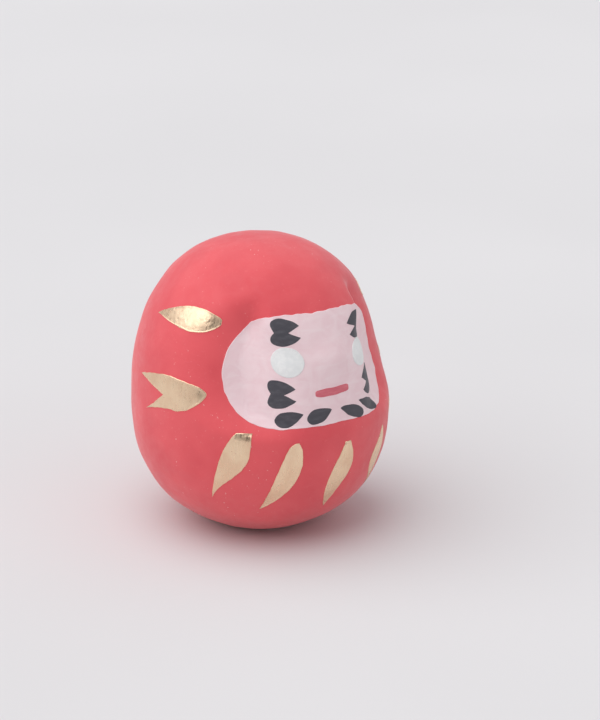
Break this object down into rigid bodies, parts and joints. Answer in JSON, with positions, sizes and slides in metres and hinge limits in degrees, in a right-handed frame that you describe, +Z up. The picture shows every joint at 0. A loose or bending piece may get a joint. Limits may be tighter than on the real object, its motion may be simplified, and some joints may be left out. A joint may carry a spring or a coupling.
{
  "type": "daruma doll",
  "caption": "Small round papier-mache doll with a sunken painted face and gold leaf strokes; a clay weight in its base keeps it upright on a flat foot.",
  "frame": {"origin": "middle of the flat foot, on the surface that the doll stands on", "axes": "+Z up through the crown, -Y the way the face looks, +X the doll's own left side"},
  "size_m": [0.063, 0.0632, 0.07],
  "materials": {
    "red_paper": "matte",
    "natural_paper": "matte",
    "clay": "matte",
    "pink_paint": "matte",
    "white_paint": "satin",
    "black_paint": "satin",
    "lip_paint": "matte",
    "gold_leaf": "gloss"
  },
  "bodies": {
    "root": {"paper_shell": "red_paper", "back_seam_strip": "red_paper", "base_paper": "natural_paper", "clay_weight": "clay", "face_paint": "pink_paint", "right_eye": "white_paint", "left_eye": "white_paint", "right_brow": "black_paint", "left_brow": "black_paint", "right_moustache": "black_paint", "left_moustache": "black_paint", "right_beard_outer": "black_paint", "right_beard_inner": "black_paint", "left_beard_inner": "black_paint", "left_beard_outer": "black_paint", "mouth": "lip_paint", "gold_stroke_1": "gold_leaf", "gold_stroke_2": "gold_leaf", "gold_stroke_3": "gold_leaf", "gold_stroke_4": "gold_leaf", "gold_stroke_5": "gold_leaf", "right_gold_leaf": "gold_leaf", "left_gold_leaf": "gold_leaf", "right_gold_ribbon": "gold_leaf", "left_gold_ribbon": "gold_leaf"}
  },
  "joints": []
}
